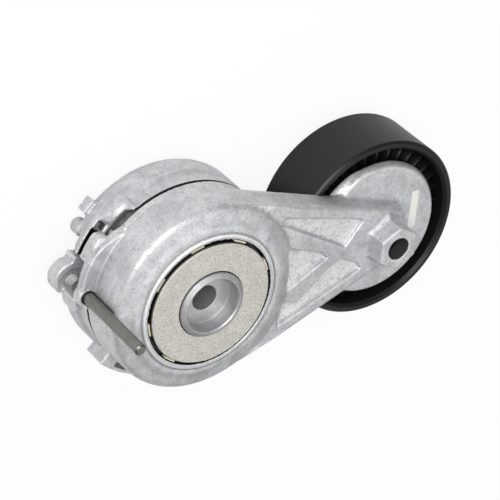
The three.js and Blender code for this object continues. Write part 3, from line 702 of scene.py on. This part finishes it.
def cast_aluminium(name, gap_shade_zone, marks):
    """Die-cast aluminium: flow marks, fine grain and pits; lighter edges, partly worn and partly a painted
    highlight; painted shade in hollows, crevices and the gap between base and arm.
    """
    paint = Paint(name)
    place = paint.place()
    clouds = paint.noise(8, 5, 0.65, place, 0.6)
    veins = paint.noise(2.4, 5, 0.75, place, 0.8)
    grain = paint.noise(0.5, 3, 0.75, place)
    pits = paint.ramp(paint.noise(0.6, 2, 0.5, place), (0.62, 0), (0.7, 1))
    wear = paint.kept("wear")
    edge = wear.math("MAXIMUM", wear, 0)
    hollow = (wear * -1).math("MAXIMUM", wear * -1, 0)
    pale = grey(0.72, (-0.006, 0.0, 0.016))
    dull = grey(0.57, (-0.006, 0.0, 0.02))
    shade = paint.mix(paint.ramp(clouds, (0.4, 0), (0.6, 1)), dull, pale)
    # The pockets' floors are painted paler
    shade = paint.mix(paint.kept("floor") * 0.7, shade, grey(0.95))
    shade = paint.mix(paint.ramp(veins, (0.34, 0.6), (0.5, 0)), shade, grey(0.4, (0, 0, 0.02)))
    shade = paint.mix(paint.ramp(grain, (0.3, 0.6), (0.5, 0)), shade, grey(0.34, (0, 0, 0.01)))
    shade = paint.mix(pits * 0.6, shade, grey(0.16, (0, 0, 0.01)))
    # Painted shade: darker in the hollows
    shade = paint.mix(hollow * 0.5, shade, grey(0.34, (0, 0, 0.01)))
    # Lighter on the edges: partly wear, partly a painted highlight
    shade = paint.mix(edge * 0.6, shade, grey(0.86))
    x, y, z = paint.split(place)
    ring = (z, *paint.radius_and_angle(x, y))
    # Painted shade: near black and not metallic in the gap between base and arm, for its shadow
    seam = paint.inside(ring, gap_shade_zone)
    shade = paint.mix(seam, shade, grey(0.006))
    shade, metal = marks(paint, (x, y, z), ring, shade, 0.7 - 0.7 * seam)
    paint.feed("Metallic", metal)
    # Painted shade: near black deep in crevices and gaps
    paint.feed("Base Color", paint.mix(paint.crevice(1.6), shade, grey(0.012)))
    paint.feed("Roughness", 0.46 + 0.14 * clouds - 0.1 * edge)
    height = 0.25 * clouds + 0.4 * veins + 0.25 * grain - 0.3 * pits
    paint.feed("Normal", paint.bump(height, 0.2))
    return paint.material


def base_marks(paint, place, ring, shade, metal):
    """Painted shade: the black shadow line under the arm's tang, the shade in the notch, and dark teeth on
    the sill for the shade in the window.
    """
    # Teeth painted dark, as painted shade seen through the window
    teeth = paint.mix(paint.teeth(ring[2]), grey(0.08), grey(0.45))
    shade = paint.mix(paint.inside(ring, LEDGE_SHADOW), shade, grey(0.006))
    shade = paint.mix(paint.inside(ring, NOTCH_SHADOW) * 0.9, shade, grey(0.07))
    return paint.mix(paint.inside(ring, SILL_TEETH_AND_SHADE), shade, teeth), metal


def arm_marks(paint, place, ring, shade, metal):
    """The lip's edge, partly worn and partly a painted highlight; painted shade at its foot, down in its
    recess and in the hexagon's bore; and the blank label.
    """
    x, y, _ = place
    from_pulley, _ = paint.radius_and_angle(x - PULLEY.x / MM, y - PULLEY.y / MM)
    bore_shade = paint.within(from_pulley, 0, HEXAGON_BORE + 0.1)
    label = paint.inside(place, LABEL)
    # Lip's edge lighter: partly wear, partly a painted highlight
    shade = paint.mix(paint.inside(ring, LIP_EDGE_WEAR_AND_HIGHLIGHT), shade, grey(0.95))
    shade = paint.mix(paint.inside(ring, LIP_FOOT_SHADOW) * 0.6, shade, grey(0.25))
    shade = paint.mix(paint.inside(ring, RECESS_SHADOW), shade, grey(0.01))
    # Painted shade: dark down in the hexagon's bore
    shade = paint.mix(bore_shade * 0.85, shade, grey(0.05))
    return paint.mix(label, shade, (0.74, 0.74, 0.71, 1)), metal - metal * label


def steel(name, color, roughness, metallic=1.0, spread=0.25):
    """Plain metal whose colour and shine vary a little with its grain."""
    paint = Paint(name, Metallic=metallic)
    grain = paint.noise(0.8, 4, 0.65)
    clouds = paint.noise(4, 3, 0.6)
    darker = tuple(c * (1 - spread) for c in color[:3]) + (1,)
    shade = paint.mix(paint.ramp(0.6 * grain + 0.4 * clouds, (0.38, 0), (0.6, 1)), darker, color)
    # Painted shade: near black deep in crevices and gaps
    paint.feed("Base Color", paint.mix(paint.crevice(1), shade, grey(0.012)))
    paint.feed("Roughness", roughness - 0.1 + 0.2 * grain)
    paint.feed("Normal", paint.bump(grain, 0.02))
    return paint.material


def disc_zinc(name):
    """Cream zinc plate with a sandy grain; the disc's side is painted darker, and black down in its gap as
    painted shade.
    """
    paint = Paint(name, Metallic=0.4)
    place = paint.place()
    grain = paint.noise(0.6, 3, 0.8, place)
    clouds = paint.noise(5, 3, 0.6, place)
    _, _, height = paint.split(place)
    shade = paint.mix(paint.ramp(clouds, (0.35, 0), (0.65, 1)), (0.6, 0.59, 0.54, 1), (0.68, 0.66, 0.62, 1))
    shade = paint.mix(paint.ramp(grain, (0.36, 0.7), (0.54, 0)), shade, (0.3, 0.29, 0.25, 1))
    # The disc's side is painted darker
    shade = paint.mix(paint.within(height, 0, DISC_TOP - 0.3), shade, (0.2, 0.19, 0.16, 1))
    # Painted shade: black down in the gap round the disc
    shade = paint.mix(paint.within(height, 0, LIP_TOP - 0.1), shade, grey(0.008))
    # Painted shade: near black deep in crevices and gaps
    paint.feed("Base Color", paint.mix(paint.crevice(1), shade, grey(0.012)))
    paint.feed("Roughness", 0.5 + 0.2 * grain)
    paint.feed("Normal", paint.bump(grain, 0.12))
    return paint.material


def toothed_polymer(name):
    """Dark friction polymer with fine upright teeth round its outside, and a painted black shadow up under
    the arm.
    """
    paint = Paint(name, Metallic=0, Roughness=0.6)
    x, y, height = paint.split(paint.place())
    _, angle = paint.radius_and_angle(x, y)
    shade = paint.mix(paint.teeth(angle), grey(0.08), grey(0.4))
    paint.feed("Base Color", paint.mix(paint.above(height, DAMPER_SHADOW), shade, grey(0.01)))
    return paint.material


def washer_polymer(name):
    """Cream polymer, painted black below the tops of the tabs."""
    paint = Paint(name, Metallic=0, Roughness=0.55)
    _, _, height = paint.split(paint.place())
    paint.feed("Base Color", paint.mix(paint.above(height, WASHER_BLACK_BELOW), grey(0.02), (0.62, 0.57, 0.42, 1)))
    return paint.material


def plastic(name, color, roughness, shine=0.5):
    paint = Paint(name, Metallic=0, Specular_IOR_Level=shine)
    grain = paint.noise(0.5, 3, 0.6)
    darker = tuple(c * 0.7 for c in color[:3]) + (1,)
    shade = paint.mix(grain, color, darker)
    # Painted shade: near black deep in crevices and gaps
    paint.feed("Base Color", paint.mix(paint.crevice(1), shade, grey(0.004)))
    paint.feed("Roughness", roughness - 0.08 + 0.16 * grain)
    paint.feed("Normal", paint.bump(grain, 0.02))
    return paint.material


materials = {
    "cast_aluminium": cast_aluminium("die_cast_aluminium", BASE_GAP_SHADE, base_marks),
    "grey_steel": steel("turned_steel", (0.55, 0.55, 0.56, 1), 0.5, 0.8, 0.2),
    "zinc_plate": disc_zinc("cream_zinc"),
    "spring_steel": steel("spring_wire", (0.09, 0.09, 0.1, 1), 0.4),
    "bronze": steel("sintered_bronze", (0.4, 0.27, 0.12, 1), 0.45),
    "cream_polymer": plastic("cream_polymer", (0.62, 0.56, 0.38, 1), 0.5),
    "dark_polymer": toothed_polymer("dark_polymer"),
    "dark_steel": steel("drawn_steel", (0.24, 0.24, 0.22, 1), 0.45),
    "black_plastic": plastic("black_polyamide", (0.009, 0.009, 0.0095, 1), 0.4, 0.36),
    "bright_steel": steel("bearing_steel", (0.6, 0.6, 0.62, 1), 0.2),
    "seal_rubber": plastic("seal_rubber", (0.012, 0.012, 0.013, 1), 0.65),
}

for node, name in SLOTS.items():
    for slot in nodes[node].material_slots:
        slot.material = materials[name]

# The thrust washer is painted black below the tops of its tabs
nodes["thrust_washer"].material_slots[0].material = washer_polymer("washer_black_below_tabs")
# The bolt is painted a near-black steel
nodes["pulley_bolt"].material_slots[0].material = steel("near_black_bolt", (0.035, 0.035, 0.035, 1), 0.5)


# Forms about the pivot


def around(radius, azimuth, height):
    """A point about the pivot, from millimetres and degrees."""
    angle = math.radians(azimuth)
    return Vector((radius * math.cos(angle), radius * math.sin(angle), height)) * MM


def upright(corners, azimuth):
    """An upright section at one azimuth, from corners of radius and height."""
    return [around(radius, azimuth, height) for radius, height in corners]


def ring_sector(zone):
    """A zone about the pivot as sections to loft through."""
    (low, high), (inner, outer), (start, end) = zone
    corners = ((inner, low), (outer, low), (outer, high), (inner, high))
    return [upright(corners, azimuth) for azimuth in np.linspace(start, end, SECTOR_SECTIONS)]


def reach_of(node, azimuth, height):
    """How far out a node's surface lies from the pivot, in millimetres."""
    start = around(OUTSIDE, azimuth, height)
    inward = Vector((-start.x, -start.y, 0)).normalized()
    _, place, _, _ = nodes[node].ray_cast(start, inward)
    return place.xy.length / MM


def polar_about(points, centre):
    """The height, the radius and the azimuth of each point about an axis."""
    x, y = points[:, 0] - centre.x, points[:, 1] - centre.y
    return points[:, 2] / MM, np.hypot(x, y) / MM, np.degrees(np.arctan2(y, x))


def in_zone(points, zone, centre=PIVOT):
    """Which points lie in a zone about an axis."""
    found = np.ones(len(points), dtype=bool)
    for values, (low, high) in zip(polar_about(points, centre), zone):
        found &= (values > low) & (values < high)
    return found


# Base


def window_sill():
    """The window's sill runs out to the ledge's edge, and climbs to the rim at its narrow end."""
    sections = []
    for azimuth in np.linspace(*SILL_AZIMUTHS, SILL_SECTIONS):
        top = SILL_TOP + SILL_CLIMB * (1 - float(rise(azimuth, *CLIMB_AZIMUTHS)))
        edge = reach_of("base_housing", azimuth, LEDGE_EDGE)
        rim = min(edge, RIM_RADIUS)
        foot = edge - SILL_INSET
        if not sections:
            rim -= RIM_START_INSET
            foot -= FOOT_START_INSET
        outside = ((foot, SILL_UNDERSIDE), (foot, min(top, SILL_EDGE)), (rim - RIM_INSET, top))
        sections.append(upright(((SILL_INSIDE, SILL_UNDERSIDE), *outside, (SILL_INSIDE, top)), azimuth))
    return sections


def stop_notch():
    """The notch in the ledge where the arm's stop tab comes to rest. Its floor climbs outwards."""
    sections = []
    for azimuth in NOTCH_AZIMUTHS:
        edge = reach_of("base_housing", azimuth, LEDGE_EDGE) - NOTCH_LIP
        floor = ((NOTCH_INSIDE, NOTCH_FLOOR[0]), (edge, NOTCH_FLOOR[1]))
        sections.append(upright((*floor, (edge, NOTCH_TOP), (NOTCH_INSIDE, NOTCH_TOP)), azimuth))
    return sections


def mould_base(points):
    """The rim stands a little lower than the arm's, so a dark line parts them."""
    seam = in_zone(points, BASE_WALL_SEAM)
    points[:, 2] -= RIM_SINK * in_zone(points, BASE_RIM) + LEDGE_SINK * in_zone(points, LEDGE_FACE)
    return seam.astype(float), None


def base():
    return cast(
        "base_housing",
        [(PIVOT, EVERYTHING)],
        mould_base,
        added=[window_sill()],
        removed=[stop_notch()],
    )


# Arm


def mould_arm(points):
    """A raised lip round the recess, and a shield whose edge steps down on the beam's side."""
    _, radius, _ = polar_about(points, PIVOT)
    wall = in_zone(points, ARM_WALL)
    outside = np.median(radius[wall])
    wall &= np.abs(radius - outside) < WALL_ERROR
    seam = wall & in_zone(points, ARM_WALL_SEAM)
    points[:, :2] *= np.where(wall, outside / radius, 1)[:, None]
    foot = in_zone(points, SHIELD_FOOT, PULLEY) & (points[:, 1] > BEAM_SIDE)
    foot |= in_zone(points, SHOULDER_FOOT)
    points[:, 2] += ARM_RIM_LIFT * in_zone(points, ARM_RIM) - lip_step(points) - shield_step(points)
    return seam.astype(float), foot.astype(float)


def lip_step(points):
    """How far the shoulder lies below the lip: a step that fades out, later on the beam's far side."""
    height, radius, azimuth = polar_about(points, PIVOT)
    end = LIP_STEP_END + LIP_STEP_WIDENS * rise(np.abs(azimuth), *LIP_STEP_AZIMUTHS)
    down = rise(radius, *LIP_STEP_RADII) * (1 - rise(radius, end - LIP_STEP_FADE, end))
    return LIP_STEP * down * (height > SHOULDER_BOTTOM)


def shield_step(points):
    """How far the shield's edge lies below its face, on the side of the beam.

    What lies at the same height further out on that side goes down too: half the beam's underside
    and the top of the pin's lug.
    """
    _, radius, azimuth = polar_about(points, PULLEY)
    edge = SHIELD_RADIUS - SHIELD_NARROWS * rise(azimuth, *SHIELD_NARROW_AZIMUTHS)
    down = rise(radius, edge, edge + SHIELD_STEP_WIDTH) * rise(azimuth, *SHIELD_STEP_AZIMUTHS)
    return SHIELD_STEP * down * in_zone(points, SHIELD_SIDE, PULLEY)


def pocket_floors(points, normals):
    """1 on the floors of the beam's pockets, which the paint makes paler."""
    x, height = points[:, 0] / MM, points[:, 2] / MM
    slope = (BEAM_TIP_TOP - BEAM_ROOT_TOP) / (PULLEY.x / MM - BEAM_ROOT)
    depth = BEAM_ROOT_TOP + slope * (x - BEAM_ROOT) - height
    found = (depth > POCKET_DEPTHS[0]) & (depth < POCKET_DEPTHS[1]) & (x < POCKET_END)
    found &= (normals[:, 2] > LEVEL) & in_zone(points, POCKETS)
    return found.astype(float)


def arm():
    axes = [(PIVOT, BELL_REACH), (PULLEY, SHIELD_REACH)]
    room = [ring_sector(zone) for zone in (TAB_OUTSIDE, UNDER_TANG, BEHIND_TANG)]
    return cast("arm_casting", axes, mould_arm, removed=room, floors=pocket_floors)


# Spring and pulley


def twisting_spring():
    """A smooth-shaded copy of the spring's coils, which takes the spring's place and material."""
    piece = new_object("spring_coils", nodes["torsion_spring"].data.copy())
    put_back(welded(piece.data), piece.data)
    piece.data.shade_smooth()
    dress(piece, "torsion_spring")
    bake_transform(piece)


def pulley():
    """The shell as one fine turned body, with a thin rib with eased edges RIBS times round it."""
    centre = Vector((PULLEY.x, PULLEY.y, 0))
    (loop,) = section("pulley_shell", centre)
    piece = turned("pulley_body", [round_corners(loop, SHELL_ROUND)], centre, 4 * RIBS)
    points = np.array([tuple(v.co) for v in nodes["pulley_shell"].data.vertices])
    corners = {round(spot.y / MM, 1) for spot in loop}
    own = np.array([round(z / MM, 1) not in corners for z in points[:, 2]])
    low, high = points[own, 2].min(), points[own, 2].max()
    tops = points[own & (points[:, 2] > high - TINY)]
    radii = np.hypot(tops[:, 0] - centre.x, tops[:, 1])
    angles = np.arctan2(tops[:, 1], tops[:, 0] - centre.x)
    phase = np.angle(np.exp(1j * RIBS * angles).mean()) / RIBS
    pitch = 2 * math.pi / RIBS
    across = ((angles - phase + pitch / 2) % pitch - pitch / 2) * radii
    half = np.abs(across).max()
    shape = bmesh.new()
    shape.from_mesh(piece.data)
    for i in range(RIBS):
        turn = Matrix.Translation(centre) @ Matrix.Rotation(phase + i * pitch, 4, "Z")
        add_rib(shape, turn, radii.min() - MM / 2, radii.max() + MM / 2, low, high, half)
    put_back(shape, piece.data)
    piece.data.shade_smooth()
    return piece


def add_rib(shape, turn, inner, outer, low, high, half):
    """One rib with eased top and bottom edges: an eight-sided section, drawn from hub to rim."""
    flat = half - RIB_EASE
    side = [(-half, low + RIB_EASE), (-flat, low), (flat, low), (half, low + RIB_EASE)]
    side += [(half, high - RIB_EASE), (flat, high), (-flat, high), (-half, high - RIB_EASE)]
    ends = [[shape.verts.new(turn @ Vector((x, y, z))) for y, z in side] for x in (inner, outer)]
    for i in range(len(side)):
        j = (i + 1) % len(side)
        shape.faces.new((ends[0][i], ends[0][j], ends[1][j], ends[1][i]))
    shape.faces.new(ends[0][::-1])
    shape.faces.new(ends[1])


stand_in(base(), "base_housing")
stand_in(arm(), "arm_casting", cast_aluminium("cast_arm", ARM_GAP_SHADE, arm_marks))
twisting_spring()
stand_in(pulley(), "pulley_shell")
for node, radius in ROUNDS.items():
    centre = axis_of(node)
    centre.z = 0
    outlines = [round_corners(loop, radius) for loop in section(node, centre)]
    stand_in(turned(node + "_turned", outlines, centre), node)


# Studio


def make_floor():
    half = FLOOR_SIZE / 2
    shape = bmesh.new()
    corners = ((-half, -half), (half, -half), (half, half), (-half, half))
    shape.faces.new([shape.verts.new((x, y, cad_low.z)) for x, y in corners])
    mesh = bpy.data.meshes.new("floor")
    put_back(shape, mesh)
    floor = new_object("floor", mesh)
    paint = Paint("white_floor", Base_Color=grey(0.85), Roughness=0.9, Specular_IOR_Level=0)
    seen = paint.node("LightPath", {}, {}, "Is Camera Ray")
    glow = paint.node("Emission", {}, {"Color": grey(1), "Strength": 1})
    diffuse = Value(paint, paint.shader.outputs[0])
    look = paint.node("MixShader", {}, {0: seen * 0.9, 1: diffuse, 2: glow})
    paint.tree.links.new(look.socket, paint.tree.nodes["Material Output"].inputs["Surface"])
    floor.data.materials.append(paint.material)


def make_world():
    world = bpy.data.worlds.new("studio")
    bpy.context.scene.world = world
    world.use_nodes = True
    tree = world.node_tree
    background = tree.nodes["Background"]
    background.inputs["Color"].default_value = (1, 1, 1, 1)
    rays = tree.nodes.new("ShaderNodeLightPath")
    strength = tree.nodes.new("ShaderNodeMapRange")
    strength.inputs["To Min"].default_value = WORLD_GREY
    strength.inputs["To Max"].default_value = 1
    tree.links.new(rays.outputs["Is Camera Ray"], strength.inputs["Value"])
    tree.links.new(strength.outputs["Result"], background.inputs["Strength"])


def area_light(name, place, target, size, power):
    data = bpy.data.lights.new(name, "AREA")
    data.shape = "SQUARE"
    data.size = size
    data.energy = power
    lamp = bpy.data.objects.new(name, data)
    bpy.context.collection.objects.link(lamp)
    lamp.location = place
    lamp.rotation_euler = (Vector(target) - Vector(place)).to_track_quat("-Z", "Y").to_euler()


def make_camera():
    data = bpy.data.cameras.new("camera")
    data.lens = CAMERA_LENS
    data.sensor_width = CAMERA_SENSOR
    data.clip_start = 0.01
    data.clip_end = 10
    camera = bpy.data.objects.new("camera", data)
    bpy.context.collection.objects.link(camera)
    camera.location = CAMERA_PLACE
    camera.rotation_euler = Euler([math.radians(turn) for turn in CAMERA_TURN])
    bpy.context.scene.camera = camera


make_floor()
make_world()
middle = (cad_low + cad_high) / 2
area_light("key", middle + Vector(KEY_FROM), middle, KEY_SIZE, KEY_POWER)
area_light("over", middle + Vector(OVER_FROM), middle, OVER_SIZE, OVER_POWER)
make_camera()
bpy.context.scene.view_settings.view_transform = "Standard"
